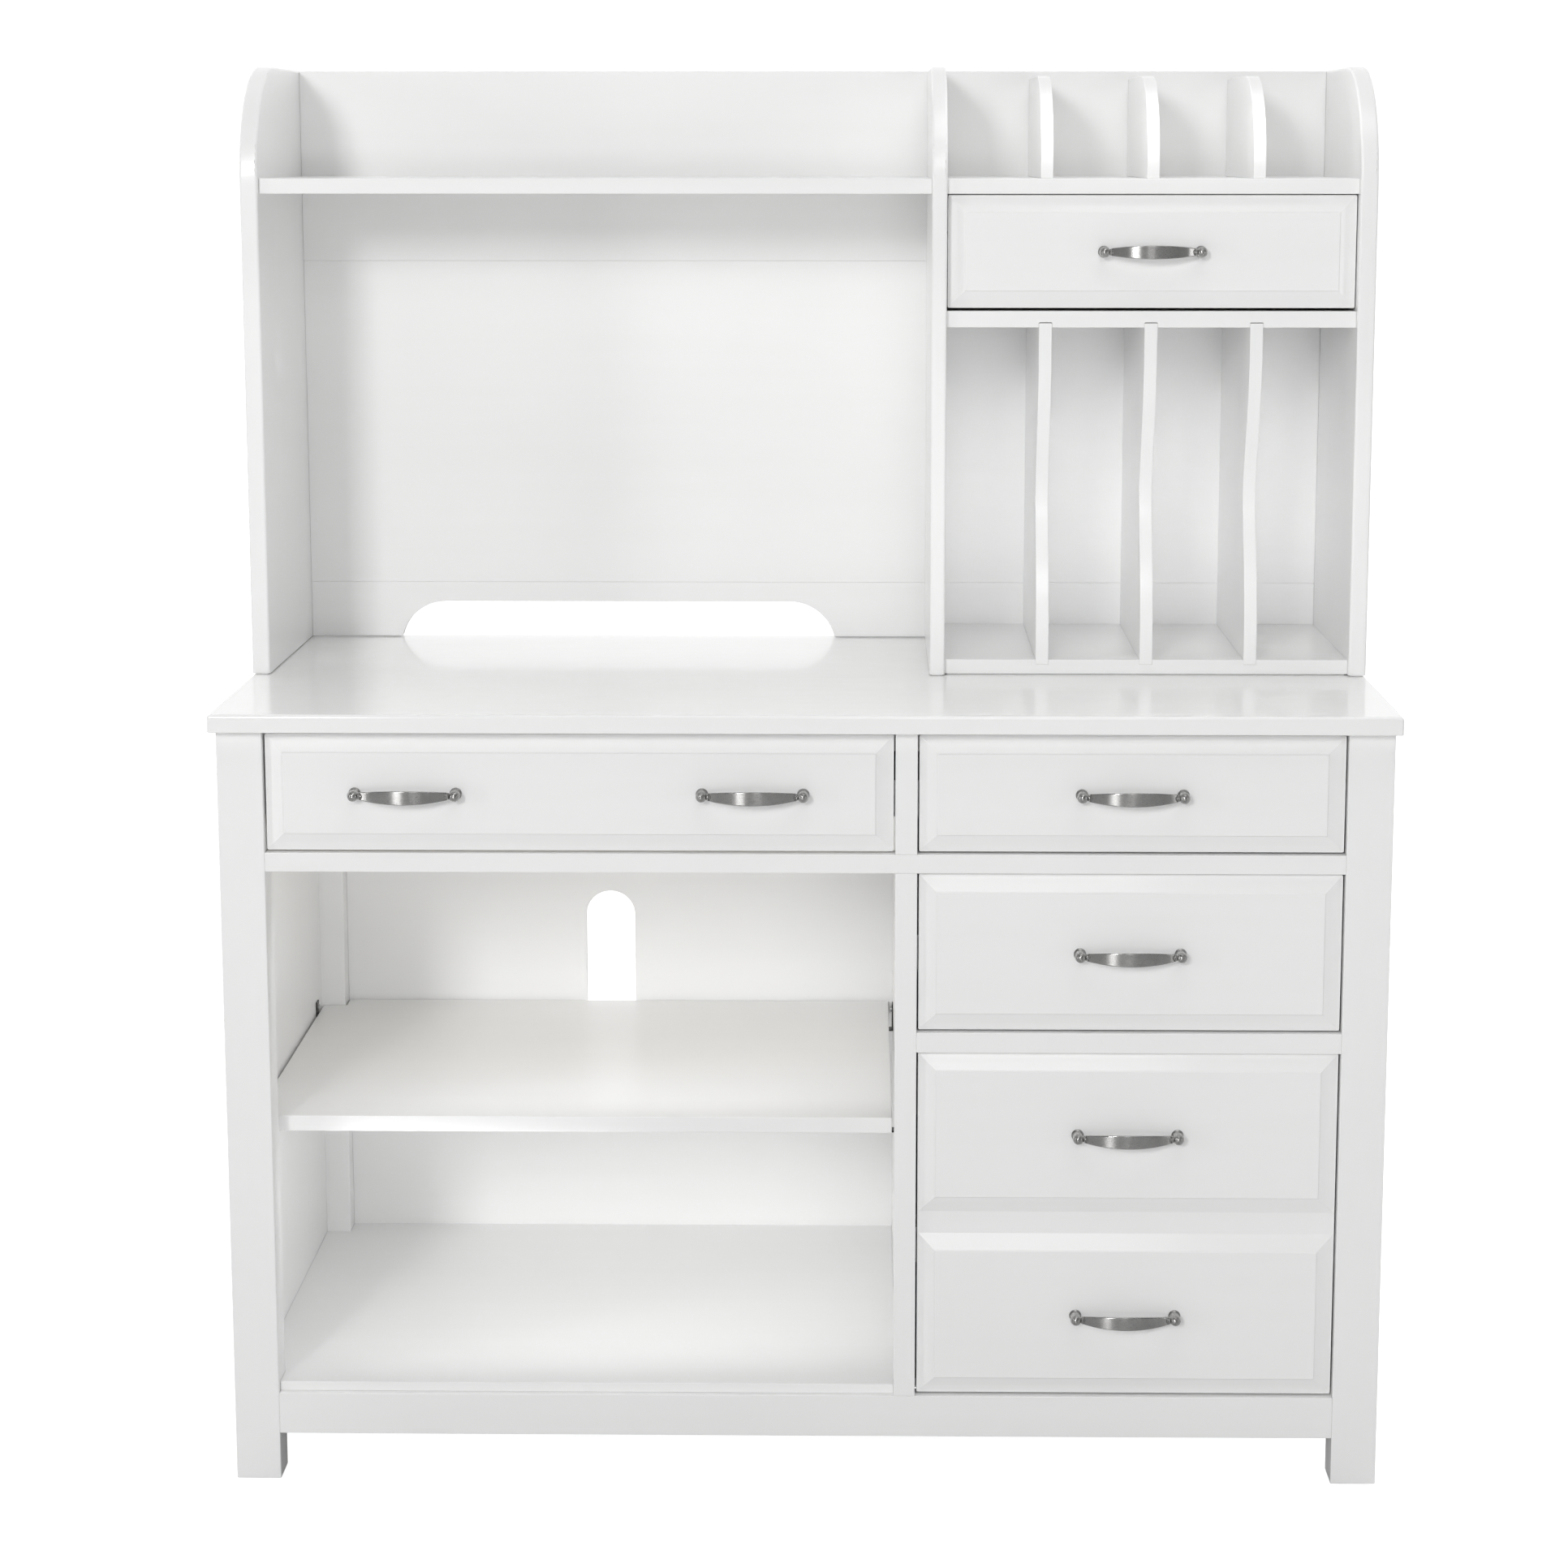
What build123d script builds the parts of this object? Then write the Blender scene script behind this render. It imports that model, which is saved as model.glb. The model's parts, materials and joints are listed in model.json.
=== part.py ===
"""Counter-height sewing desk with a hutch, built as separate boards, slides and pulls.

Frame: +Z up with the floor at Z = 0, the front faces -Y, and X = 0 is the centre line.
Depths are measured back from the worktop's front edge; at_depth() turns them into Y.
All sizes are in millimetres.
"""
import os
from dataclasses import dataclass
from math import cos, radians, sin

from build123d import *

os.makedirs("parts", exist_ok=True)

# ---------------------------------------------------------------- driving dimensions
# Whole desk
desk_width = 1341.0
desk_depth = 612.0
worktop_height = 914.0
worktop_thick = 21.0
hutch_top = 1638.0
face_setback = 20.0          # face frame behind the worktop's front edge

# Base frame
leg_width = 52.0
leg_depth = 45.0
leg_outer_x = 665.0
leg_rear_depth = 610.0
glide_height = 3.0
glide_radius = 11.0
frame_depth = 25.0           # face rails and posts, front to back
side_panel_x = (644.0, 656.0)
stretcher_thick = 27.0
stretcher_width = 70.0
upper_rail_z = (729.5, 751.5)
lower_rail_z = (520.0, 543.5)
bottom_rail_z = (58.6, 107.7)
bottom_rail_thick = 22.0
floor_top = 119.0
floor_setback = 8.0          # open bay's floor behind the face frame
post_x = (103.0, 128.0)
partition_x = (106.5, 124.5)
base_back_depth = (597.0, 606.0)

# Adjustable shelf, its brackets and the cable slot behind it
shelf_top = 429.0
shelf_thick = 18.5
shelf_x = (-641.0, 100.7)
shelf_depth = (66.0, 593.0)
bracket_depths = (82.0, 525.0)
bracket_width = 16.0
bracket_rise = 15.0          # upright leaf above the shelf's top
bracket_sheet = 1.6
cable_slot_x = -265.0
cable_slot_width = 64.0
cable_slot_z = (381.0, 576.0)

# Hutch
hutch_side_thick = 21.0
hutch_board = 18.0
hutch_front_depth = 285.0
hutch_back_depth = (597.0, 612.0)
hutch_corner_radius = 138.0
hutch_partition_x = (146.5, 164.5)
hutch_shelf_setback = 10.0
hutch_shelf_top = 1506.0
foot_relief_height = 1.2     # fine shadow gap cut round the foot of each hutch board
foot_relief_depth = 3.0
drawer_shelf_z = (1331.0, 1350.5)
slot_floor_thick = 18.5
back_seams_z = (986.0, 1399.5)
divider_thick = 15.5
divider_groove = 6.0
divider_top_gap = 0.8
divider_recess = 42.0        # how far the tall dividers' front edges hollow back
divider_flat = 24.0          # straight run at each end of that edge
cubby_divider_thick = 14.5
cubby_divider_top = 1627.0
cubby_corner_radius = 106.0
arch_x = -251.5
arch_width = 562.0
arch_height = 46.6
arch_flat = 446.0

# Drawers
front_gap = 2.0
front_thick = 20.0
bevel_rise = 7.4
bevel_width = 19.5
field_step = 1.4             # small steep step round each raised field
front_lip = 1.0
box_board = 12.0
box_bottom_thick = 6.0
box_bottom_lift = 8.0
box_groove = 5.0
base_box_length = 500.0
hutch_box_length = 262.0

# Ball-bearing slides
slide_height = 42.0
slide_width = 12.7
slide_sheet = 1.3
race_gap = 3.0               # room for the balls between nested members
base_slide_length = 450.0
hutch_slide_length = 250.0
slide_setback = 2.0          # behind the drawer front's back face
cleat_height = 50.0
cleat_front_depth = 65.0
cleat_rear_depth = 565.0

# Pulls
pull_spacing = 114.5
ball_radius = 6.4
ball_standoff = 15.8
post_radius = 5.6
strap_half_length = 48.0
strap_root_standoff = 16.6
strap_crest_standoff = 28.0
strap_thick = 3.0
strap_mid_height = 16.0
strap_end_height = 9.4
neck_angle = 25.0
neck_length = 9.0
pull_screw_radius = 2.0
pull_hole_radius = 2.2
pull_thread_depth = 9.0

# Hutch mounting plates and wood screws
plate_size = (16.0, 2.0, 104.0)
plate_x = (-660.0, 155.5, 660.0)
plate_bottom = 896.0
plate_screw_z = (903.5, 940.0, 984.0)
screw_head_radius = 3.8
screw_head_height = 1.8
screw_shank_radius = 1.9
screw_hole_radius = 2.2
screw_length = 16.0

# ---------------------------------------------------------------- worked-out positions
pull_projection = strap_crest_standoff + strap_thick / 2
front_reach = pull_projection - face_setback
rear_reach = plate_size[1] + screw_head_height
front_y = front_reach - (desk_depth + front_reach + rear_reach) / 2

half_width = desk_width / 2
worktop_bottom = worktop_height - worktop_thick
leg_inner_x = leg_outer_x - leg_width
face_depth = face_setback
frame_back = face_depth + frame_depth
rear_leg_front = leg_rear_depth - leg_depth
hutch_inner_x = half_width - hutch_side_thick
hutch_face_depth = hutch_front_depth + hutch_shelf_setback
slot_floor_top = worktop_height + slot_floor_thick
hutch_foot = worktop_height + foot_relief_height
divider_pitch = (hutch_inner_x - hutch_partition_x[1] + divider_thick) / 4
divider_centres = [
    hutch_partition_x[1] - divider_thick / 2 + divider_pitch * step for step in (1, 2, 3)
]


def at_depth(depth):
    """Y of a plane that lies this far behind the worktop's front edge."""
    return front_y + depth


def front_plane(depth):
    """Upright plane at a depth, facing the front; local x is X and local y is Z."""
    return Plane.XZ.offset(-at_depth(depth))


def board(x, depth, z, mode=Mode.ADD):
    """Add (or cut) a square-edged board; each argument is a (low, high) pair."""
    middle = ((x[0] + x[1]) / 2, at_depth((depth[0] + depth[1]) / 2), (z[0] + z[1]) / 2)
    with Locations(middle):
        Box(x[1] - x[0], depth[1] - depth[0], z[1] - z[0], mode=mode)


def relieved_foot(x, depth):
    """Add the foot that a hutch board stands on, set in from the board's faces all round."""
    foot_x = (x[0] + foot_relief_depth, x[1] - foot_relief_depth)
    foot_depth = (depth[0] + foot_relief_depth, depth[1] - foot_relief_depth)
    board(foot_x, foot_depth, (worktop_height, hutch_foot))


def save(piece, name):
    """Label a finished piece and write it as its own file."""
    piece.part.label = name
    export_step(piece.part, f"parts/{name}.step")


def save_group(pieces, name):
    """Write pieces that touch as one file, each still a solid of its own."""
    group = Compound(label=name, children=[piece.part for piece in pieces])
    export_step(group, f"parts/{name}.step")


# ---------------------------------------------------------------- worktop
with BuildPart() as worktop:
    board((-half_width, half_width), (0, desk_depth), (worktop_bottom, worktop_height))
    fillet(worktop.edges().filter_by(Axis.Z).sort_by(Axis.Y)[:2], radius=3)
    top_edges = worktop.faces().sort_by(Axis.Z)[-1].edges()
    fillet(top_edges.sort_by(Axis.Y)[:-1], radius=4)
    bottom_edges = worktop.faces().sort_by(Axis.Z)[0].edges()
    fillet(bottom_edges.sort_by(Axis.Y)[:-1], radius=1)
save(worktop, "worktop")

# ---------------------------------------------------------------- legs and glides
front_leg_depths = (face_depth, face_depth + leg_depth)
rear_leg_depths = (rear_leg_front, leg_rear_depth)
leg_sides = {"left": (-leg_outer_x, -leg_inner_x), "right": (leg_inner_x, leg_outer_x)}
leg_rows = {"front": front_leg_depths, "rear": rear_leg_depths}

for row, depths in leg_rows.items():
    for side, leg_x in leg_sides.items():
        with BuildPart() as leg:
            board(leg_x, depths, (glide_height, worktop_bottom))
            fillet(leg.edges().filter_by(Axis.Z), radius=1.5)
        save(leg, f"leg_{row}_{side}")

with BuildPart() as leg_glides:
    for depths in leg_rows.values():
        for leg_x in leg_sides.values():
            with Locations((sum(leg_x) / 2, at_depth(sum(depths) / 2), glide_height / 2)):
                Cylinder(glide_radius, glide_height)
save(leg_glides, "leg_glides")

# ---------------------------------------------------------------- base side panels
panel_depths = (front_leg_depths[1], rear_leg_depths[0])
for side, sign in (("left", -1), ("right", 1)):
    panel_x = sorted(sign * edge for edge in side_panel_x)
    with BuildPart() as side_panel:
        board(panel_x, panel_depths, (bottom_rail_z[0], worktop_bottom))
    save(side_panel, f"side_panel_{side}")

# ---------------------------------------------------------------- stretchers and rails
stretcher_x = (-side_panel_x[0], side_panel_x[0])
stretcher_z = (worktop_bottom - stretcher_thick, worktop_bottom)
stretcher_rear = base_back_depth[0]
with BuildPart() as top_stretchers:
    board((-leg_inner_x, leg_inner_x), (frame_back, front_leg_depths[1]), stretcher_z)
    board(stretcher_x, (front_leg_depths[1], frame_back + stretcher_width), stretcher_z)
    board(stretcher_x, (stretcher_rear - stretcher_width, rear_leg_front), stretcher_z)
    board((-leg_inner_x, leg_inner_x), (rear_leg_front, stretcher_rear), stretcher_z)
save(top_stretchers, "top_stretchers")

with BuildPart() as drawer_rail_upper:
    board((-leg_inner_x, leg_inner_x), (face_depth, frame_back), upper_rail_z)
save(drawer_rail_upper, "drawer_rail_upper")

with BuildPart() as drawer_rail_lower:
    board((post_x[1], leg_inner_x), (face_depth, frame_back), lower_rail_z)
save(drawer_rail_lower, "drawer_rail_lower")

rear_rail_front = base_back_depth[0] - bottom_rail_thick
with BuildPart() as bottom_rails:
    board((-leg_inner_x, leg_inner_x), (face_depth, frame_back), bottom_rail_z)
    board((-leg_inner_x, leg_inner_x), (rear_rail_front, base_back_depth[0]), bottom_rail_z)
save(bottom_rails, "bottom_rails")

with BuildPart() as centre_posts:
    board(post_x, (face_depth, frame_back), (bottom_rail_z[1], upper_rail_z[0]))
    board(post_x, (face_depth, frame_back), (upper_rail_z[1], worktop_bottom))
save(centre_posts, "centre_posts")

# The partition steps over the rear bottom rail.
with BuildPart() as centre_partition:
    board(partition_x, (frame_back, base_back_depth[0]), (bottom_rail_z[1], stretcher_z[0]))
    board(partition_x, (frame_back, rear_rail_front), bottom_rail_z)
save(centre_partition, "centre_partition")

# ---------------------------------------------------------------- floors and back
floor_z = (bottom_rail_z[1], floor_top)
with BuildPart() as bay_floor_left:
    board((-side_panel_x[0], partition_x[0]), (face_depth + floor_setback, base_back_depth[0]), floor_z)
    board(leg_sides["left"], front_leg_depths, floor_z, mode=Mode.SUBTRACT)
    board(leg_sides["left"], rear_leg_depths, floor_z, mode=Mode.SUBTRACT)
    board(post_x, (face_depth, frame_back), floor_z, mode=Mode.SUBTRACT)
save(bay_floor_left, "bay_floor_left")

drawer_floor_front = face_depth + front_thick + 8
with BuildPart() as bay_floor_right:
    board((partition_x[1], side_panel_x[0]), (drawer_floor_front, base_back_depth[0]), floor_z)
    board(leg_sides["right"], front_leg_depths, floor_z, mode=Mode.SUBTRACT)
    board(leg_sides["right"], rear_leg_depths, floor_z, mode=Mode.SUBTRACT)
save(bay_floor_right, "bay_floor_right")

# Round-topped cable slot behind the open bay.
slot_length = cable_slot_z[1] - cable_slot_z[0]
with BuildPart() as base_back_panel:
    board((-leg_inner_x, leg_inner_x), base_back_depth, (bottom_rail_z[0], worktop_bottom))
    with BuildSketch(front_plane(base_back_depth[1])):
        with Locations((cable_slot_x, sum(cable_slot_z) / 2)):
            SlotOverall(slot_length, cable_slot_width, rotation=90)
    extrude(amount=base_back_depth[1] - base_back_depth[0], mode=Mode.SUBTRACT)
save(base_back_panel, "base_back_panel")

# ---------------------------------------------------------------- adjustable shelf
with BuildPart() as shelf:
    board(shelf_x, shelf_depth, (shelf_top - shelf_thick, shelf_top))
    notch_x = (shelf_x[0], -leg_inner_x + 2)
    notch_depth = (rear_leg_front - 2, shelf_depth[1])
    board(notch_x, notch_depth, (shelf_top - shelf_thick, shelf_top), mode=Mode.SUBTRACT)
save(shelf, "shelf")

# L-shaped brackets: an upright leaf on the wall and a leaf under the shelf.
bracket_screw_z = shelf_top + bracket_rise / 2
bracket_walls = ((-side_panel_x[0], 1), (partition_x[0], -1))
shelf_bottom = shelf_top - shelf_thick
with BuildPart() as shelf_brackets:
    for wall_x, inward in bracket_walls:
        for depth in bracket_depths:
            leaf_depth = (depth - bracket_width / 2, depth + bracket_width / 2)
            upright_x = sorted((wall_x, wall_x + inward * bracket_sheet))
            foot_x = sorted((wall_x, wall_x + inward * 26))
            board(upright_x, leaf_depth, (shelf_bottom - bracket_sheet, shelf_top + bracket_rise))
            board(foot_x, leaf_depth, (shelf_bottom - bracket_sheet, shelf_bottom))
            with Locations(Location((wall_x, at_depth(depth), bracket_screw_z), (0, 90, 0))):
                Cylinder(screw_hole_radius, 4 * bracket_sheet, mode=Mode.SUBTRACT)
save(shelf_brackets, "shelf_brackets")

# ---------------------------------------------------------------- hutch panels
with BuildSketch(Plane.YZ) as hutch_outline:
    with BuildLine():
        corner_top = (at_depth(hutch_front_depth + hutch_corner_radius), hutch_top)
        corner_bottom = (at_depth(hutch_front_depth), hutch_top - hutch_corner_radius)
        Polyline(
            corner_bottom,
            (at_depth(hutch_front_depth), hutch_foot),
            (at_depth(desk_depth), hutch_foot),
            (at_depth(desk_depth), hutch_top),
            corner_top,
        )
        RadiusArc(corner_top, corner_bottom, -hutch_corner_radius)
    make_face()

hutch_panels = {
    "hutch_side_left": (-half_width, -hutch_inner_x),
    "hutch_side_right": (hutch_inner_x, half_width),
    "hutch_partition": hutch_partition_x,
}
for name, panel_x in hutch_panels.items():
    with BuildPart() as hutch_panel:
        with BuildSketch(Plane.YZ.offset(panel_x[0])):
            add(hutch_outline.sketch_local)
        extrude(amount=panel_x[1] - panel_x[0])
        foot_back = desk_depth
        if name == "hutch_partition":
            # The partition stops in front of the back boards.
            board(panel_x, hutch_back_depth, (hutch_foot, hutch_top), mode=Mode.SUBTRACT)
            foot_back = hutch_back_depth[0]
        front_edges = hutch_panel.edges().filter_by(
            lambda edge: edge.center().Y < at_depth(hutch_front_depth + 60)
            and abs(edge.length - (panel_x[1] - panel_x[0])) > 1
            and edge.center().Z > hutch_foot + 1
        )
        fillet(front_edges, radius=3)
        relieved_foot(panel_x, (hutch_front_depth, foot_back))
    save(hutch_panel, name)

# ---------------------------------------------------------------- hutch shelves
right_bay_x = (hutch_partition_x[1], hutch_inner_x)
left_bay_x = (-hutch_inner_x, hutch_partition_x[0])
hutch_shelf_depths = (hutch_face_depth, hutch_back_depth[0])
hutch_shelf_z = (hutch_shelf_top - hutch_board, hutch_shelf_top)

with BuildPart() as hutch_long_shelf:
    board(left_bay_x, hutch_shelf_depths, hutch_shelf_z)
save(hutch_long_shelf, "hutch_long_shelf")

with BuildPart() as hutch_short_shelf:
    board(right_bay_x, hutch_shelf_depths, hutch_shelf_z)
save(hutch_short_shelf, "hutch_short_shelf")

# Open-fronted grooves take the tall dividers.
with BuildPart() as hutch_drawer_shelf:
    board(right_bay_x, hutch_shelf_depths, drawer_shelf_z)
    for centre in divider_centres:
        groove_x = (centre - divider_thick / 2, centre + divider_thick / 2)
        groove_z = (drawer_shelf_z[0], drawer_shelf_z[0] + divider_groove)
        board(groove_x, hutch_shelf_depths, groove_z, mode=Mode.SUBTRACT)
save(hutch_drawer_shelf, "hutch_drawer_shelf")

with BuildPart() as slot_floor:
    board(right_bay_x, hutch_shelf_depths, (hutch_foot, slot_floor_top))
    relieved_foot(right_bay_x, hutch_shelf_depths)
    for centre in divider_centres:
        groove_x = (centre - divider_thick / 2, centre + divider_thick / 2)
        groove_z = (slot_floor_top - divider_groove, slot_floor_top)
        board(groove_x, hutch_shelf_depths, groove_z, mode=Mode.SUBTRACT)
save(slot_floor, "slot_floor")

# ---------------------------------------------------------------- hutch dividers
divider_front = at_depth(hutch_face_depth)
divider_back = at_depth(hutch_back_depth[0])
divider_low = slot_floor_top - divider_groove
divider_high = drawer_shelf_z[0] + divider_groove - divider_top_gap
with BuildSketch(Plane.YZ) as divider_outline:
    with BuildLine():
        hollow_low = (divider_front, slot_floor_top + divider_flat)
        hollow_high = (divider_front, drawer_shelf_z[0] - divider_flat)
        hollow_middle = (divider_front + divider_recess, (hollow_low[1] + hollow_high[1]) / 2)
        Polyline(
            hollow_low,
            (divider_front, divider_low),
            (divider_back, divider_low),
            (divider_back, divider_high),
            (divider_front, divider_high),
            hollow_high,
        )
        Spline(hollow_high, hollow_middle, hollow_low, tangents=[(0, -1), (0, -1)])
    make_face()

with BuildPart() as slot_dividers:
    for centre in divider_centres:
        with BuildSketch(Plane.YZ.offset(centre - divider_thick / 2)):
            add(divider_outline.sketch_local)
        extrude(amount=divider_thick)
save(slot_dividers, "slot_dividers")

cubby_front = divider_front + 2
with BuildSketch(Plane.YZ) as cubby_outline:
    with BuildLine():
        curve_low = (cubby_front, cubby_divider_top - cubby_corner_radius)
        curve_high = (cubby_front + cubby_corner_radius, cubby_divider_top)
        Polyline(
            curve_low,
            (cubby_front, hutch_shelf_top),
            (divider_back, hutch_shelf_top),
            (divider_back, cubby_divider_top),
            curve_high,
        )
        RadiusArc(curve_high, curve_low, -cubby_corner_radius)
    make_face()

with BuildPart() as cubby_dividers:
    for centre in divider_centres:
        with BuildSketch(Plane.YZ.offset(centre - cubby_divider_thick / 2)):
            add(cubby_outline.sketch_local)
        extrude(amount=cubby_divider_thick)
save(cubby_dividers, "cubby_dividers")

# ---------------------------------------------------------------- hutch back boards
back_x = (-hutch_inner_x, hutch_inner_x)
with BuildPart() as hutch_back_upper:
    board(back_x, hutch_back_depth, (back_seams_z[1], hutch_top - 1))
save(hutch_back_upper, "hutch_back_upper")

with BuildPart() as hutch_back_panel:
    board(back_x, hutch_back_depth, back_seams_z)
save(hutch_back_panel, "hutch_back_panel")

# A long low arch lets cables through above the worktop.
with BuildPart() as hutch_back_lower:
    board(back_x, hutch_back_depth, (hutch_foot, back_seams_z[0]))
    with BuildSketch(front_plane(hutch_back_depth[1])):
        with BuildLine():
            arch_low = [(arch_x + side * arch_width / 2, worktop_height) for side in (-1, 1)]
            arch_high = [
                (arch_x + side * arch_flat / 2, worktop_height + arch_height) for side in (-1, 1)
            ]
            TangentArc(arch_high[0], arch_low[0], tangent=(-1, 0))
            TangentArc(arch_high[1], arch_low[1], tangent=(1, 0))
            Line(arch_high[0], arch_high[1])
            Line(arch_low[0], arch_low[1])
        make_face()
    extrude(amount=hutch_back_depth[1] - hutch_back_depth[0], mode=Mode.SUBTRACT)
save(hutch_back_lower, "hutch_back_lower")


# ---------------------------------------------------------------- pulls
# One pull in its own frame: centred on X and Z, standing forward (-Y) of the face at Y = 0.
neck_direction = (cos(radians(neck_angle)), sin(radians(neck_angle)), 0)
neck_start = Plane(
    origin=(strap_half_length - 1.5, -strap_root_standoff - 0.6, 0),
    z_dir=neck_direction,
)
# Turned post with a foot flange and a ball head.
with BuildPart() as pull_post:
    with BuildSketch(Plane.XY):
        with BuildLine():
            ball_back = (post_radius - 0.6, -ball_standoff + (ball_radius**2 - (post_radius - 0.6) ** 2) ** 0.5)
            Polyline((0, -ball_standoff - ball_radius), (0, 0), (post_radius + 1.4, 0), (post_radius + 1.4, -1.2))
            Line((post_radius + 1.4, -1.2), (post_radius, -2.6))
            Line((post_radius, -2.6), ball_back)
            ThreePointArc(ball_back, (ball_radius, -ball_standoff), (0, -ball_standoff - ball_radius))
        make_face()
    revolve(axis=Axis.Y)

# The strap is a bowed band seen from above, cut to a lens seen from the front.
with BuildPart() as pull_strap:
    with BuildSketch(Plane.XY.offset(-strap_mid_height / 2)):
        with BuildLine():
            outer_y, inner_y = [-strap_root_standoff + side * strap_thick / 2 for side in (-1, 1)]
            crest_outer, crest_inner = [
                -strap_crest_standoff + side * strap_thick / 2 for side in (-1, 1)
            ]
            ThreePointArc((-strap_half_length, outer_y), (0, crest_outer), (strap_half_length, outer_y))
            ThreePointArc((-strap_half_length, inner_y), (0, crest_inner), (strap_half_length, inner_y))
            Line((-strap_half_length, outer_y), (-strap_half_length, inner_y))
            Line((strap_half_length, outer_y), (strap_half_length, inner_y))
        make_face()
    extrude(amount=strap_mid_height)
    with BuildSketch(Plane.XZ):
        with BuildLine():
            end_half, mid_half = strap_end_height / 2, strap_mid_height / 2
            ThreePointArc((-strap_half_length, end_half), (0, mid_half), (strap_half_length, end_half))
            ThreePointArc((-strap_half_length, -end_half), (0, -mid_half), (strap_half_length, -end_half))
            Line((-strap_half_length, end_half), (-strap_half_length, -end_half))
            Line((strap_half_length, end_half), (strap_half_length, -end_half))
        make_face()
    extrude(amount=pull_projection + 5, mode=Mode.INTERSECT)
    long_edges = pull_strap.edges().filter_by(lambda edge: edge.length > strap_half_length)
    fillet(long_edges, radius=1.0)

# A ringed neck joins each end of the strap to its post.
neck_rings = ((1.5, 4.6), (3.7, 4.0))    # distance along the neck, ring radius
ring_width = 1.6
neck_radius = 3.1
with BuildPart() as pull_necks:
    with BuildSketch(neck_start):
        Circle(neck_radius)
    extrude(amount=neck_length)
    for along, radius in neck_rings:
        with BuildSketch(neck_start.offset(along)):
            Circle(radius)
        extrude(amount=ring_width)
    ring_edges = pull_necks.edges().filter_by(GeomType.CIRCLE).filter_by(
        lambda edge: edge.radius > neck_radius + 0.1
    )
    fillet(ring_edges, radius=0.7)
    mirror(about=Plane.YZ)

with BuildPart() as pull:
    add(pull_strap.part)
    add(pull_necks.part)
    with Locations((-pull_spacing / 2, 0, 0), (pull_spacing / 2, 0, 0)):
        add(pull_post.part)
    for side in (-1, 1):
        with Locations(Location((side * pull_spacing / 2, 0, 0), (90, 0, 0))):
            Cylinder(pull_hole_radius, 2 * pull_thread_depth, mode=Mode.SUBTRACT)

# Its two machine screws come through the drawer front from inside the box.
pull_screw_length = front_thick + box_board + pull_thread_depth - 1
with BuildPart() as pull_screws:
    for side in (-1, 1):
        head_seat = Plane(origin=(side * pull_spacing / 2, front_thick + box_board, 0), z_dir=(0, -1, 0))
        with BuildSketch(head_seat):
            Circle(pull_screw_radius)
        extrude(amount=pull_screw_length)
        with BuildSketch(head_seat):
            Circle(2 * pull_screw_radius)
        extrude(amount=-pull_screw_radius)


# ---------------------------------------------------------------- drawers
@dataclass
class Drawer:
    """One drawer: its opening, its inset front and the box and slides behind it."""

    name: str
    opening_x: tuple
    front_z: tuple
    box_z: tuple
    slide_z: float
    pull_points: list            # (x, z) of each pull's middle
    face_depth: float = face_setback
    gap: float = front_gap
    box_length: float = base_box_length
    slide_length: float = base_slide_length
    fields_z: list = None        # (low, high) of each raised field, the whole front if None


def middle(span):
    """Mid-point of a (low, high) pair."""
    return (span[0] + span[1]) / 2


left_opening = (-leg_inner_x, post_x[0])
right_opening = (post_x[1], leg_inner_x)
top_drawer_z = (753.5, 887.5)
middle_drawer_z = (545.5, 727.5)
file_drawer_z = (110.0, 518.5)
file_fields_z = [(110.0, 304.0), (328.0, 518.5)]
hutch_drawer_z = (1354.0, 1486.8)
left_pull_offset = 196.5

drawers = [
    Drawer(
        name="left_drawer",
        opening_x=left_opening,
        front_z=top_drawer_z,
        box_z=(768.0, 860.0),
        slide_z=812.0,
        pull_points=[
            (middle(left_opening) + side * left_pull_offset, middle(top_drawer_z)) for side in (-1, 1)
        ],
    ),
    Drawer(
        name="top_right_drawer",
        opening_x=right_opening,
        front_z=top_drawer_z,
        box_z=(768.0, 860.0),
        slide_z=812.0,
        pull_points=[(middle(right_opening), middle(top_drawer_z))],
    ),
    Drawer(
        name="middle_right_drawer",
        opening_x=right_opening,
        front_z=middle_drawer_z,
        box_z=(560.0, 704.0),
        slide_z=632.0,
        pull_points=[(middle(right_opening), middle(middle_drawer_z))],
    ),
    Drawer(
        name="file_drawer",
        opening_x=right_opening,
        front_z=file_drawer_z,
        box_z=(132.0, 420.0),
        slide_z=284.0,
        pull_points=[(middle(right_opening), middle(field)) for field in file_fields_z],
        fields_z=file_fields_z,
    ),
    Drawer(
        name="hutch_drawer",
        opening_x=right_bay_x,
        front_z=hutch_drawer_z,
        box_z=(1368.0, 1464.0),
        slide_z=1417.0,
        pull_points=[(middle(right_bay_x), middle(hutch_drawer_z))],
        face_depth=hutch_face_depth,
        gap=1.2,
        box_length=hutch_box_length,
        slide_length=hutch_slide_length,
    ),
]


def cut_pull_holes(drawer, depths):
    """Cut the clearance holes of the pull screws through the boards at these depths."""
    with BuildSketch(front_plane(depths[1])) as holes:
        for x, z in drawer.pull_points:
            with Locations((x - pull_spacing / 2, z), (x + pull_spacing / 2, z)):
                Circle(pull_hole_radius)
    extrude(holes.sketch, amount=depths[1] - depths[0], mode=Mode.SUBTRACT)


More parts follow.
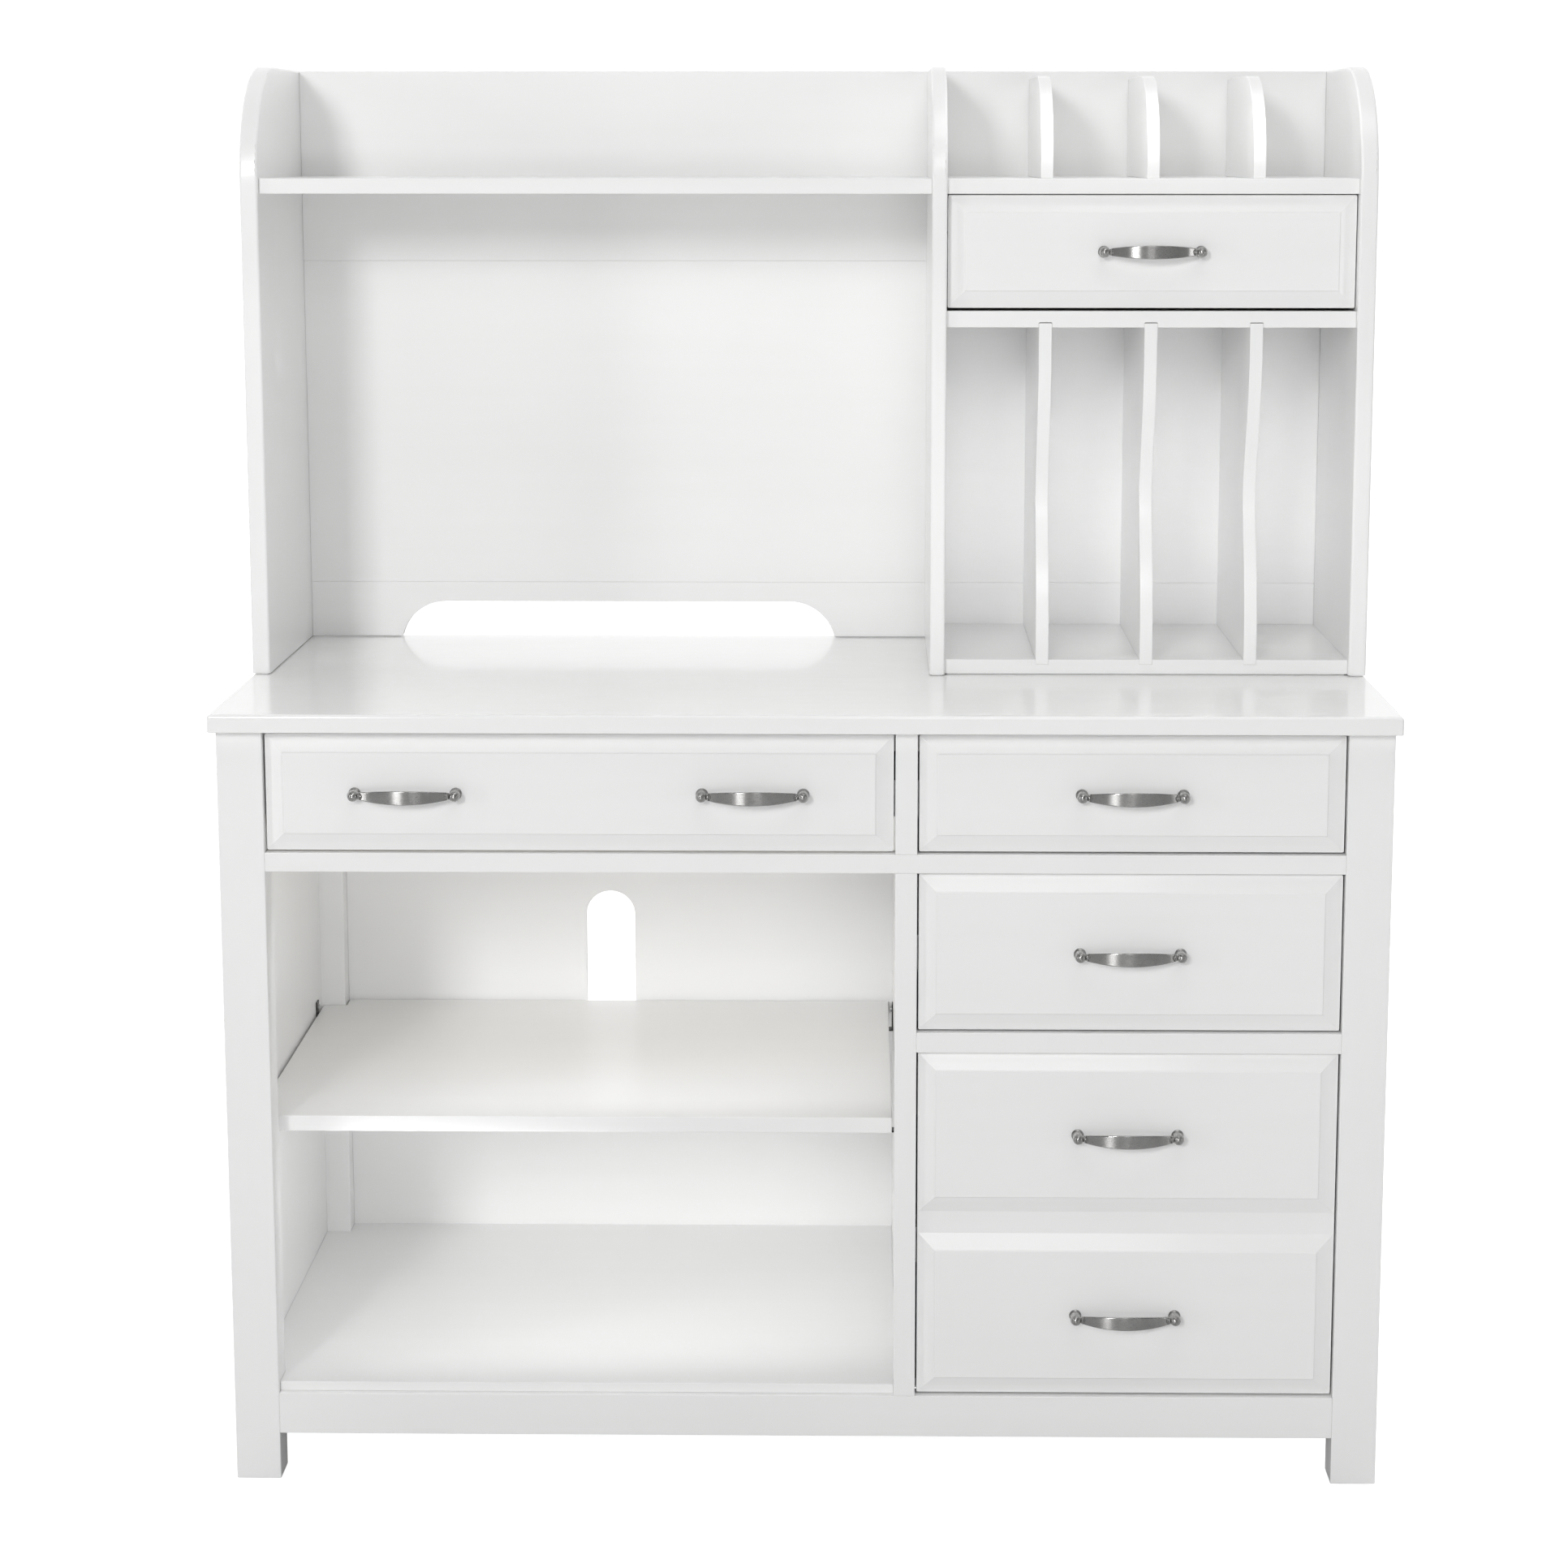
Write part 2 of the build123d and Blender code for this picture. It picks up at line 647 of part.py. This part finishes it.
def build_front(drawer):
    """Inset front: a slab whose fields rise over mitred bevels and a small steep step."""
    front_x = (drawer.opening_x[0] + drawer.gap, drawer.opening_x[1] - drawer.gap)
    back_depth = drawer.face_depth + front_thick
    slab_depth = drawer.face_depth + bevel_rise + field_step
    field_base_width = front_x[1] - front_x[0] - 2 * front_lip
    with BuildPart() as front:
        board(front_x, (slab_depth, back_depth), drawer.front_z)
        fillet(front.edges().filter_by(Axis.Y), radius=2)
        for field in drawer.fields_z or [drawer.front_z]:
            field_middle = (middle(front_x), middle(field))
            field_base_height = field[1] - field[0] - 2 * front_lip
            inset = bevel_width - front_lip
            levels = (
                (slab_depth, 0),
                (slab_depth - bevel_rise, inset),
                (slab_depth - bevel_rise - field_step, inset + field_step),
            )
            for (low_depth, low_inset), (high_depth, high_inset) in zip(levels, levels[1:]):
                with BuildSketch(front_plane(low_depth)) as foot:
                    with Locations(field_middle):
                        Rectangle(field_base_width - 2 * low_inset, field_base_height - 2 * low_inset)
                with BuildSketch(front_plane(high_depth)) as head:
                    with Locations(field_middle):
                        Rectangle(field_base_width - 2 * high_inset, field_base_height - 2 * high_inset)
                loft()
        cut_pull_holes(drawer, (drawer.face_depth, back_depth))
    save(front, f"{drawer.name}_front")


def build_box(drawer):
    """Open box: grooved sides, a sub-front, a back and a thin bottom slid in from behind."""
    box_x = (drawer.opening_x[0] + slide_width, drawer.opening_x[1] - slide_width)
    inner_x = (box_x[0] + box_board, box_x[1] - box_board)
    box_front = drawer.face_depth + front_thick
    box_back = box_front + drawer.box_length
    bottom_z = (drawer.box_z[0] + box_bottom_lift, drawer.box_z[0] + box_bottom_lift + box_bottom_thick)
    bottom_x = (inner_x[0] - box_groove, inner_x[1] + box_groove)
    bottom_depth = (box_front + box_board - box_groove, box_back)

    with BuildPart() as sides:
        board((box_x[0], inner_x[0]), (box_front, box_back), drawer.box_z)
        board((inner_x[1], box_x[1]), (box_front, box_back), drawer.box_z)
        board(bottom_x, bottom_depth, bottom_z, mode=Mode.SUBTRACT)
    with BuildPart() as ends:
        board(inner_x, (box_front, box_front + box_board), drawer.box_z)
        board(inner_x, (box_back - box_board, box_back), (bottom_z[1], drawer.box_z[1]))
        board(bottom_x, bottom_depth, bottom_z, mode=Mode.SUBTRACT)
        cut_pull_holes(drawer, (box_front, box_front + box_board))
    with BuildPart() as bottom:
        board(bottom_x, bottom_depth, bottom_z)
    save_group([sides, ends, bottom], f"{drawer.name}_box")


def build_pulls(drawer):
    """Every pull of the drawer with its two screws."""
    places = [Location((x, at_depth(drawer.face_depth), z)) for x, z in drawer.pull_points]
    with BuildPart() as pulls:
        with Locations(places):
            add(pull.part)
            add(pull_screws.part)
    save(pulls, f"{drawer.name}_pull")


def channel(web_x, lip_x, height, slide_z, depths):
    """Add a C-section slide member: an upright web at web_x, two flanges out to lip_x."""
    inward = 1 if lip_x > web_x else -1
    inside_x = sorted((web_x + inward * slide_sheet, lip_x))
    inside_half = height / 2 - slide_sheet
    board(sorted((web_x, lip_x)), depths, (slide_z - height / 2, slide_z + height / 2))
    board(inside_x, depths, (slide_z - inside_half, slide_z + inside_half), mode=Mode.SUBTRACT)


def slide_walls(drawer):
    """The two upright faces that carry the drawer's slides, with the way inward from each."""
    return ((drawer.opening_x[0], 1), (drawer.opening_x[1], -1))


def slide_depths(drawer):
    """Where a closed drawer's slide members start and end."""
    slide_front = drawer.face_depth + front_thick + slide_setback
    return (slide_front, slide_front + drawer.slide_length)


# Each member nests inside the one before it, with a ball race between their flanges.
middle_height = slide_height - 2 * (slide_sheet + race_gap)
inner_height = middle_height - 2 * (slide_sheet + race_gap)
cabinet_lip = 10.0
middle_web, middle_lip = 3.4, 11.0
inner_lip = 5.6


def build_moving_slides(drawer):
    """The middle members and the members screwed to the box, left and right."""
    with BuildPart() as middle_members:
        for wall_x, inward in slide_walls(drawer):
            channel(
                wall_x + inward * middle_web,
                wall_x + inward * middle_lip,
                middle_height,
                drawer.slide_z,
                slide_depths(drawer),
            )
    save(middle_members, f"{drawer.name}_slide_middle")
    with BuildPart() as inner_members:
        for wall_x, inward in slide_walls(drawer):
            channel(
                wall_x + inward * slide_width,
                wall_x + inward * inner_lip,
                inner_height,
                drawer.slide_z,
                slide_depths(drawer),
            )
    save(inner_members, f"{drawer.name}_slide_inner")


for drawer in drawers:
    build_front(drawer)
    build_box(drawer)
    build_pulls(drawer)
    build_moving_slides(drawer)

# ---------------------------------------------------------------- fixed slide members
with BuildPart() as slide_cabinet_members:
    for drawer in drawers:
        for wall_x, inward in slide_walls(drawer):
            channel(
                wall_x,
                wall_x + inward * cabinet_lip,
                slide_height,
                drawer.slide_z,
                slide_depths(drawer),
            )
save(slide_cabinet_members, "slide_cabinet_members")

# Cleats carry the base slides out to the line of the face frame's openings.
cleat_depths = (cleat_front_depth, cleat_rear_depth)
with BuildPart() as slide_cleats:
    for drawer in drawers:
        cleat_z = (drawer.slide_z - cleat_height / 2, drawer.slide_z + cleat_height / 2)
        if drawer.opening_x == left_opening:
            board((-side_panel_x[0], -leg_inner_x), cleat_depths, cleat_z)
            board((post_x[0], partition_x[0]), cleat_depths, cleat_z)
        elif drawer.opening_x == right_opening:
            board((partition_x[1], post_x[1]), cleat_depths, cleat_z)
            board((leg_inner_x, side_panel_x[0]), cleat_depths, cleat_z)
save(slide_cleats, "slide_cleats")

# ---------------------------------------------------------------- plates and screws
with BuildPart() as mounting_plates:
    for x in plate_x:
        board(
            (x - plate_size[0] / 2, x + plate_size[0] / 2),
            (desk_depth, desk_depth + plate_size[1]),
            (plate_bottom, plate_bottom + plate_size[2]),
        )
    fillet(mounting_plates.edges().filter_by(Axis.Y), radius=3)
    with BuildSketch(front_plane(desk_depth + plate_size[1])):
        with Locations([(x, z) for x in plate_x for z in plate_screw_z]):
            Circle(screw_hole_radius)
    extrude(amount=plate_size[1], mode=Mode.SUBTRACT)
save(mounting_plates, "mounting_plates")


def screws_at(seats, length):
    """Round-headed wood screws; each seat is a plane under the head, its z the way in."""
    with BuildPart(*seats) as screws:
        Cylinder(screw_shank_radius, length, align=(Align.CENTER, Align.CENTER, Align.MIN))
        Cylinder(screw_head_radius, screw_head_height, align=(Align.CENTER, Align.CENTER, Align.MAX))
    return screws


plate_seats = [
    Plane(origin=(x, at_depth(desk_depth) + plate_size[1], z), z_dir=(0, -1, 0))
    for x in plate_x
    for z in plate_screw_z
]
bracket_seats = [
    Plane(
        origin=(wall_x + inward * bracket_sheet, at_depth(depth), bracket_screw_z),
        z_dir=(-inward, 0, 0),
    )
    for wall_x, inward in bracket_walls
    for depth in bracket_depths
]
plate_screws = screws_at(plate_seats, screw_length + plate_size[1])
bracket_screws = screws_at(bracket_seats, 11)
save_group([plate_screws, bracket_screws], "screws")
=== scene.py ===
"""Looks of a white lacquered sewing desk with a hutch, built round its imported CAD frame.

Everything is in metres in the row frame: +Z up, the front of the desk faces -Y.
"""

import json
from math import radians

import bmesh
import bpy
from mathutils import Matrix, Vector


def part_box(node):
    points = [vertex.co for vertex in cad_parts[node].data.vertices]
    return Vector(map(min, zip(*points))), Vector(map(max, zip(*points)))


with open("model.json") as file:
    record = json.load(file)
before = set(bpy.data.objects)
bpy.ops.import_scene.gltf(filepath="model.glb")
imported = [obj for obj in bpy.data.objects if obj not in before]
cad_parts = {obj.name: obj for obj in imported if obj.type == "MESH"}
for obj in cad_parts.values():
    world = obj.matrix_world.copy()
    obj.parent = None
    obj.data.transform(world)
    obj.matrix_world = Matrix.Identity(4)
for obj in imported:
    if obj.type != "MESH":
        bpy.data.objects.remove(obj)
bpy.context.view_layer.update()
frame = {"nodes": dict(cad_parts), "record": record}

nodes = frame["nodes"]
worktop_low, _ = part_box("worktop")

# ---------------------------------------------------------------- camera
# A standing-height view from the front, tilted down and a little right of the centre line.
# Metres, degrees for pitch and yaw, millimetres for the lens.
CAMERA_FROM_WORKTOP = 3.602
CAMERA_OFFSET = 0.062
CAMERA_HEIGHT = 1.541
CAMERA_PITCH = 9.14
CAMERA_YAW = 0.783
CAMERA_LENS = 75.04
CAMERA_SHIFT = (-0.020, -0.070)
SENSOR_WIDTH = 36.0


def make_camera():
    """The front view; most of its framing is tilt, so that views from other sides stay whole."""
    data = bpy.data.cameras.new("camera")
    data.lens = CAMERA_LENS
    data.sensor_width = SENSOR_WIDTH
    data.shift_x, data.shift_y = CAMERA_SHIFT
    camera = bpy.data.objects.new("camera", data)
    camera.location = (CAMERA_OFFSET, worktop_low.y - CAMERA_FROM_WORKTOP, CAMERA_HEIGHT)
    camera.rotation_euler = (radians(90 - CAMERA_PITCH), 0, radians(CAMERA_YAW))
    bpy.context.scene.collection.objects.link(camera)
    bpy.context.scene.camera = camera


# ---------------------------------------------------------------- shader helpers
class Shader:
    """A material with a Principled shader, and short ways to add and join its nodes."""

    def __init__(self, name):
        self.material = bpy.data.materials.new(name)
        self.material.use_nodes = True
        self.tree = self.material.node_tree
        self.surface = self.tree.nodes["Principled BSDF"]

    def node(self, kind, **values):
        """Add a node and set its own properties."""
        made = self.tree.nodes.new(kind)
        for key, value in values.items():
            setattr(made, key, value)
        return made

    def join(self, output, target):
        self.tree.links.new(output, target)

    def place(self, scale=(1, 1, 1)):
        """Coordinates fixed to the piece, in metres, stretched by scale."""
        coordinates = self.node("ShaderNodeTexCoord")
        mapping = self.node("ShaderNodeMapping")
        mapping.inputs["Scale"].default_value = scale
        self.join(coordinates.outputs["Object"], mapping.inputs["Vector"])
        return mapping.outputs["Vector"]

    def noise(self, vector, scale, detail=3.0, roughness=0.5, distortion=0.0):
        made = self.node("ShaderNodeTexNoise")
        self.join(vector, made.inputs["Vector"])
        made.inputs["Scale"].default_value = scale
        made.inputs["Detail"].default_value = detail
        made.inputs["Roughness"].default_value = roughness
        made.inputs["Distortion"].default_value = distortion
        return made.outputs["Fac"]

    def spread(self, value, low, high, source=(0.3, 0.7)):
        """Map a noise value onto the range low to high."""
        made = self.node("ShaderNodeMapRange")
        self.join(value, made.inputs["Value"])
        made.inputs["From Min"].default_value, made.inputs["From Max"].default_value = source
        made.inputs["To Min"].default_value = low
        made.inputs["To Max"].default_value = high
        return made.outputs["Result"]

    def ramp(self, value, stops):
        """Colours along a noise value; stops are (position, colour) pairs."""
        made = self.node("ShaderNodeValToRGB")
        self.join(value, made.inputs["Fac"])
        elements = made.color_ramp.elements
        while len(elements) < len(stops):
            elements.new(1.0)
        for element, (position, colour) in zip(elements, stops):
            element.position = position
            element.color = (*colour, 1)
        return made.outputs["Color"]

    def tint(self, first, second):
        """Multiply one colour by another."""
        made = self.node("ShaderNodeMix", data_type="RGBA", blend_type="MULTIPLY")
        made.inputs["Factor"].default_value = 1.0
        self.join(first, made.inputs["A"])
        self.join(second, made.inputs["B"])
        return made.outputs["Result"]

    def bump(self, height, distance):
        """Relief of a value from 0 to 1, distance high in metres."""
        made = self.node("ShaderNodeBump")
        made.inputs["Strength"].default_value = 1.0
        made.inputs["Distance"].default_value = distance
        self.join(height, made.inputs["Height"])
        self.join(made.outputs["Normal"], self.surface.inputs["Normal"])

    def set(self, **values):
        """Set the surface's own sockets; an underscore in a name stands for a space."""
        for key, value in values.items():
            self.surface.inputs[key.replace("_", " ")].default_value = value


def along(axis, stretch):
    """Scale that draws a texture out along one axis."""
    return tuple(stretch if name == axis else 1.0 for name in "xyz")


# ---------------------------------------------------------------- materials
LACQUER = (0.945, 0.945, 0.942)
LACQUER_SHADE = (0.93, 0.93, 0.927)


def lacquer(name, grain_axis, roughness, coat):
    """Sprayed white lacquer: gently uneven sheen over wood grain that barely shows through."""
    shader = Shader(name)
    place = shader.place()
    cloud = shader.noise(place, 3.1, detail=2)
    grain = shader.noise(shader.place(along(grain_axis, 0.05)), 45.0, detail=3, roughness=0.6)
    wave = shader.noise(place, 16.0, detail=2)
    wide = shader.ramp(cloud, [(0.3, LACQUER_SHADE), (0.7, LACQUER)])
    fine = shader.ramp(grain, [(0.25, (0.992, 0.992, 0.99)), (0.6, (1, 1, 1))])
    shader.join(shader.tint(wide, fine), shader.surface.inputs["Base Color"])
    shader.join(
        shader.spread(cloud, roughness - 0.015, roughness + 0.02), shader.surface.inputs["Roughness"]
    )
    shader.bump(wave, distance=0.00025)
    shader.set(IOR=1.5, Coat_Weight=coat, Coat_Roughness=0.08, Coat_IOR=1.5)
    return shader.material


def brushed_nickel():
    """Satin nickel with fine marks from side to side, and highlights drawn out upwards."""
    shader = Shader("satin_nickel")
    place = shader.place()
    strokes = shader.noise(shader.place((0.05, 1, 1)), 2600.0, detail=3, roughness=0.7)
    cloud = shader.noise(place, 60.0, detail=2)
    tone = shader.ramp(cloud, [(0.3, (0.36, 0.357, 0.35)), (0.7, (0.43, 0.426, 0.42))])
    line = shader.ramp(strokes, [(0.3, (0.93, 0.93, 0.93)), (0.7, (1, 1, 1))])
    shader.join(shader.tint(tone, line), shader.surface.inputs["Base Color"])
    shader.join(shader.spread(strokes, 0.25, 0.32), shader.surface.inputs["Roughness"])
    around = shader.node("ShaderNodeTangent", direction_type="RADIAL", axis="Z")
    shader.join(around.outputs["Tangent"], shader.surface.inputs["Tangent"])
    shader.bump(strokes, distance=0.000008)
    shader.set(Metallic=1.0, Anisotropic=1.0, Anisotropic_Rotation=0.25)
    shader.set(Coat_Weight=1.0, Coat_Roughness=0.04)
    return shader.material


def zinc_steel(name, light, dark):
    """Plated sheet steel with soft blotches and drawing marks along the slide."""
    shader = Shader(name)
    place = shader.place()
    blotch = shader.noise(place, 45.0, detail=3)
    draw = shader.noise(shader.place(along("y", 0.02)), 900.0, detail=2)
    shader.join(shader.ramp(blotch, [(0.3, dark), (0.7, light)]), shader.surface.inputs["Base Color"])
    shader.join(shader.spread(draw, 0.28, 0.42), shader.surface.inputs["Roughness"])
    shader.bump(draw, distance=0.00002)
    shader.set(Metallic=1.0)
    return shader.material


def birch(name, grain_axis):
    """Pale clear-coated birch with long soft figure and fine pores."""
    shader = Shader(name)
    figure = shader.noise(shader.place(along(grain_axis, 0.07)), 22.0, detail=5, distortion=0.6)
    pores = shader.noise(shader.place(along(grain_axis, 0.015)), 520.0, detail=3)
    wide = shader.ramp(
        figure,
        [(0.25, (0.69, 0.61, 0.50)), (0.5, (0.76, 0.69, 0.58)), (0.75, (0.80, 0.74, 0.64))],
    )
    fine = shader.ramp(pores, [(0.3, (0.86, 0.82, 0.78)), (0.55, (1, 1, 1))])
    shader.join(shader.tint(wide, fine), shader.surface.inputs["Base Color"])
    shader.join(shader.spread(figure, 0.38, 0.52), shader.surface.inputs["Roughness"])
    shader.bump(pores, distance=0.00005)
    shader.set(IOR=1.5)
    return shader.material


def nylon():
    """Moulded pale nylon with a fine mould texture."""
    shader = Shader("glide_plastic")
    grain = shader.noise(shader.place(), 900.0, detail=2)
    tone = shader.ramp(grain, [(0.3, (0.62, 0.61, 0.58)), (0.7, (0.68, 0.67, 0.64))])
    shader.join(tone, shader.surface.inputs["Base Color"])
    shader.join(shader.spread(grain, 0.45, 0.6), shader.surface.inputs["Roughness"])
    shader.bump(grain, distance=0.00004)
    return shader.material


def pale_floor():
    """Plain matt studio floor, lit a little from within like a white cyclorama."""
    shader = Shader("studio_floor")
    cloud = shader.noise(shader.place(), 0.8, detail=2)
    tone = shader.ramp(cloud, [(0.3, (0.59, 0.59, 0.59)), (0.7, (0.62, 0.62, 0.62))])
    shader.join(tone, shader.surface.inputs["Base Color"])
    seen = shader.node("ShaderNodeLightPath").outputs["Is Camera Ray"]
    shader.join(shader.spread(seen, 0, FLOOR_GLOW, (0, 1)), shader.surface.inputs["Emission Strength"])
    shader.set(Roughness=0.9, Emission_Color=(1, 1, 1, 1))
    return shader.material


# ---------------------------------------------------------------- CAD boards
# Boards whose wood grain stands upright; on the others it runs along the desk.
UPRIGHT = ("leg_", "side_panel", "hutch_side", "hutch_partition", "centre_", "slot_dividers")
EDGE_ROUND = 0.0009
WELD_DISTANCE = 0.00001
FLAT_WITHIN = radians(0.5)
# Below the tilt of the drawer fronts' bevels, so that their edges stay crisp.
EDGE_FROM = radians(15)


def soften(board, width):
    """Round a board's sharp edges with modifiers; its own mesh stays as it is."""
    weld = board.modifiers.new("weld", "WELD")
    weld.merge_threshold = WELD_DISTANCE
    flat = board.modifiers.new("flat", "DECIMATE")
    flat.decimate_type = "DISSOLVE"
    flat.angle_limit = FLAT_WITHIN
    edge = board.modifiers.new("edge", "BEVEL")
    edge.width = width
    edge.segments = 3
    edge.limit_method = "ANGLE"
    edge.angle_limit = EDGE_FROM
    edge.miter_outer = "MITER_ARC"
    normals = board.modifiers.new("normals", "WEIGHTED_NORMAL")
    normals.keep_sharp = False


def dress_cad_nodes():
    """Give every CAD node its finish, and every wooden one softened edges."""
    finishes = {
        "upright": lacquer("lacquer_upright", "z", 0.30, 0.25),
        "level": lacquer("lacquer_level", "x", 0.30, 0.25),
        "top": lacquer("lacquer_top", "x", 0.18, 0.5),
        "box": birch("birch_box", "y"),
        "nickel": brushed_nickel(),
        "slide": zinc_steel("slide_steel", (0.62, 0.63, 0.64), (0.50, 0.51, 0.52)),
        "dark": zinc_steel("dark_zinc", (0.10, 0.10, 0.10), (0.06, 0.06, 0.06)),
        "glide": nylon(),
    }
    slots = {row["node"]: row["material_slot"] for row in frame["record"]["subparts"]}
    by_slot = {
        "drawer_wood": "box",
        "satin_nickel": "nickel",
        "slide_steel": "slide",
        "dark_metal": "dark",
        "glide_plastic": "glide",
    }
    for name, board in nodes.items():
        finish = by_slot.get(slots[name])
        if finish is None:
            finish = "upright" if name.startswith(UPRIGHT) else "level"
            if name == "worktop":
                finish = "top"
        board.data.materials.clear()
        board.data.materials.append(finishes[finish])
        if slots[name] in ("white_lacquer", "drawer_wood"):
            soften(board, EDGE_ROUND)


# ---------------------------------------------------------------- studio
# The floor and the backdrop are white to the camera; the backdrop's light on the desk is
# FRONT_FILL from the front and BACK_FILL from behind.
FLOOR_GLOW = 0.9
FLOOR_RADIUS = 60
BACKDROP_WHITE = 1.1
FRONT_FILL = 0.17
BACK_FILL = 1.1
FILL_CHANGE = (-0.25, 0.25)
# Softboxes: place, aim, size and power. The desk is lit mostly from its upper left.
SOFTBOXES = {
    "key": ((-2.7, -9.0, 3.8), (0, 0, 0.9), (1.4, 1.8), 258),
    "high": ((0.6, -8.2, 4.6), (0, 0, 0.9), (1.3, 1.8), 42),
    "overhead": ((0.5, -1.6, 4.4), (0.1, 0, 0.9), (2.4, 1.6), 20),
    "side_left": ((-4.2, -2.6, 1.3), (0, 0, 0.9), (0.5, 2.2), 24),
    "side_right": ((4.2, -2.6, 1.3), (0, 0, 0.9), (0.5, 2.2), 12),
    "rear_left": ((-2.6, 3.6, 2.2), (0, 0, 0.85), (1.6, 2.0), 5),
    "rear_right": ((2.6, 3.6, 2.2), (0, 0, 0.85), (1.6, 2.0), 5),
}
# Lamps left out of pictures and reflections: one low across the floor, the rest close to the
# desk, in or before its open shelves and over its worktop. These are what brightens them.
FILLS = {
    "low": ((1.0, -8.8, 0.8), (0, 0, 0.7), (2.4, 0.8), 54),
    "bay_upper": ((-0.24, -0.25, 0.62), (-0.28, 0.3, 0.50), (0.6, 0.14), 0.67),
    "bay_lower": ((-0.24, -0.25, 0.33), (-0.28, 0.3, 0.30), (0.6, 0.12), 0.55),
    "cubbies": ((0.40, -0.03, 1.58), (0.40, 0.3, 1.56), (0.42, 0.05), 0.12),
    "worktop_right": ((0.40, -0.24, 1.28), (0.40, -0.20, 0.9), (0.5, 0.16), 0.17),
    "worktop_left": ((-0.25, -0.20, 1.40), (-0.25, -0.16, 0.9), (0.8, 0.2), 0.21),
    "under_shelf": ((-0.25, 0.08, 1.28), (-0.25, 0.29, 1.43), (0.8, 0.04), 0.03),
}
# One more lamp stands in the mouth of each upright slot and points a little down at its back;
# SLOT_AIM holds the y and z it points at.
SLOTS = 4
SLOT_LAMP_HEIGHT = 1.14
SLOT_AIM = (0.3, 1.1)
SLOT_LAMP_SIZE = (0.03, 0.34)
SLOT_LAMP_POWER = 0.06
SLOT_LAMP_SPREAD = radians(70)
# The birch bottom of the left drawer warms the bay under it, so the lamp there is a little cool.
BAY_COOL = (0.915, 0.95, 1.0)


def make_floor():
    mesh = bpy.data.meshes.new("floor")
    shape = bmesh.new()
    bmesh.ops.create_circle(shape, cap_ends=True, segments=96, radius=FLOOR_RADIUS)
    shape.to_mesh(mesh)
    shape.free()
    floor = bpy.data.objects.new("floor", mesh)
    floor.data.materials.append(pale_floor())
    bpy.context.scene.collection.objects.link(floor)


def make_softbox(name, place, aim, size, power):
    data = bpy.data.lights.new(name, "AREA")
    data.shape = "RECTANGLE"
    data.size, data.size_y = size
    data.energy = power
    light = bpy.data.objects.new(name, data)
    light.location = place
    light.rotation_euler = (Vector(aim) - Vector(place)).to_track_quat("-Z", "Y").to_euler()
    bpy.context.scene.collection.objects.link(light)
    return light


def make_world():
    """A white backdrop: bright behind the desk, darker in front of it, white to the camera."""
    world = bpy.data.worlds.new("studio")
    world.use_nodes = True
    tree = world.node_tree

    def spread(value, low, high, source, smooth=False):
        made = tree.nodes.new("ShaderNodeMapRange")
        tree.links.new(value, made.inputs["Value"])
        if smooth:
            made.interpolation_type = "SMOOTHSTEP"
        made.inputs["From Min"].default_value, made.inputs["From Max"].default_value = source
        made.inputs["To Min"].default_value = low
        made.inputs["To Max"].default_value = high
        return made

    direction = tree.nodes.new("ShaderNodeTexCoord").outputs["Generated"]
    split = tree.nodes.new("ShaderNodeSeparateXYZ")
    tree.links.new(direction, split.inputs["Vector"])
    fill = spread(split.outputs["Y"], FRONT_FILL, BACK_FILL, FILL_CHANGE, smooth=True)
    seen = tree.nodes.new("ShaderNodeLightPath").outputs["Is Camera Ray"]
    strength = spread(seen, 0, BACKDROP_WHITE, (0, 1))
    tree.links.new(fill.outputs["Result"], strength.inputs["To Min"])
    background = tree.nodes["Background"]
    background.inputs["Color"].default_value = (1, 1, 1, 1)
    tree.links.new(strength.outputs["Result"], background.inputs["Strength"])
    bpy.context.scene.world = world


def slot_lamps():
    """A narrow lamp for each slot: place, aim, size and power, by name."""
    low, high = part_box("slot_floor")
    lamps = {}
    for index in range(SLOTS):
        x = low.x + (high.x - low.x) * (index + 0.5) / SLOTS
        place = (x, 0.0, SLOT_LAMP_HEIGHT)
        lamps["slot_" + str(index + 1)] = (place, (x, *SLOT_AIM), SLOT_LAMP_SIZE, SLOT_LAMP_POWER)
    return lamps


def make_fills():
    """The hidden lamps, the one in the upper bay tinted and those in the slots narrowed."""
    slots = slot_lamps()
    for name, (place, aim, size, power) in {**FILLS, **slots}.items():
        lamp = make_softbox(name, place, aim, size, power)
        if name == "bay_upper":
            lamp.data.color = BAY_COOL
        if name in slots:
            lamp.data.spread = SLOT_LAMP_SPREAD
        lamp.visible_glossy = False
        lamp.visible_camera = False


def make_studio():
    make_world()
    for name, (place, aim, size, power) in SOFTBOXES.items():
        make_softbox(name, place, aim, size, power)
    make_fills()
    make_floor()
    bpy.context.scene.view_settings.view_transform = "Standard"


make_camera()
dress_cad_nodes()
make_studio()
